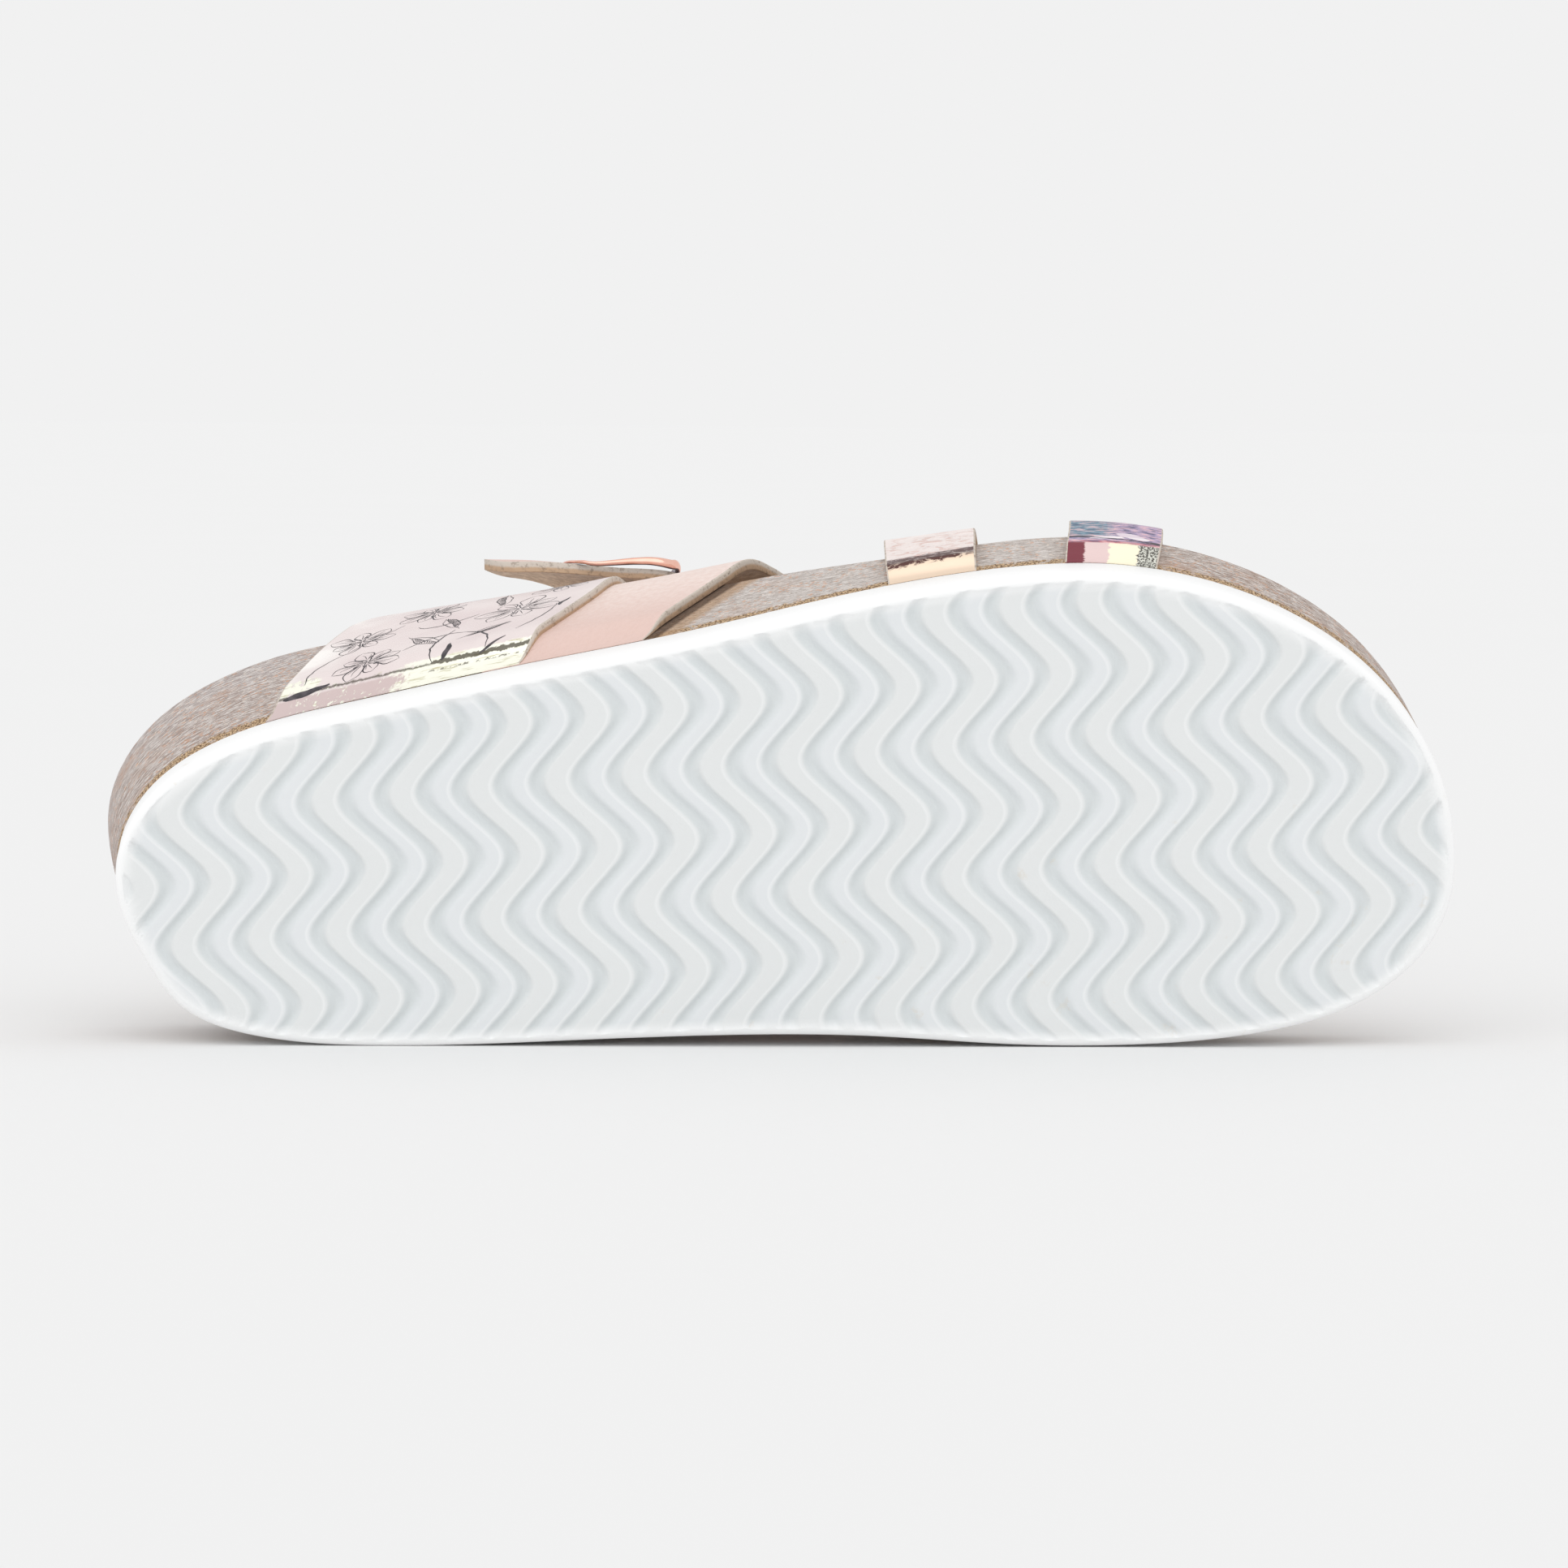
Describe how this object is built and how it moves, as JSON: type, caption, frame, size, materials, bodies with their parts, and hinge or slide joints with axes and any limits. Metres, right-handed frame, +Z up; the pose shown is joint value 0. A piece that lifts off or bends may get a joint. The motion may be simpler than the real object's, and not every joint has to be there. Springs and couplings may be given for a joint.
{
  "type": "cork footbed sandal",
  "caption": "Right sandal lying on its medial side: pale wavy-tread foam sole, cork footbed, suede sock, wide instep straps with a buckle and narrow toe straps.",
  "frame": {"origin": "centre of the bounding box at floor level; the sandal lies on its medial side", "axes": "+X towards the toe, +Z up from the floor, towards the lateral side, and -Y the way the tread faces"},
  "size_m": [0.2616, 0.0908, 0.1016],
  "materials": {
    "outsole": "matt white foam",
    "footbed": "pressed cork, unvarnished",
    "insole": "suede",
    "upper": "satin, printed flowers in front of plain blush, with foil patches",
    "toe_strap_rear": "rose gold foil",
    "toe_strap_front": "satin, printed in several colours with foil patches",
    "buckle": "polished rose gold"
  },
  "bodies": {
    "root": {"outsole": "outsole", "footbed": "footbed", "insole": "insole", "upper": "upper", "toe_strap_rear": "toe_strap_rear", "toe_strap_front": "toe_strap_front", "buckle": "buckle"}
  },
  "joints": []
}
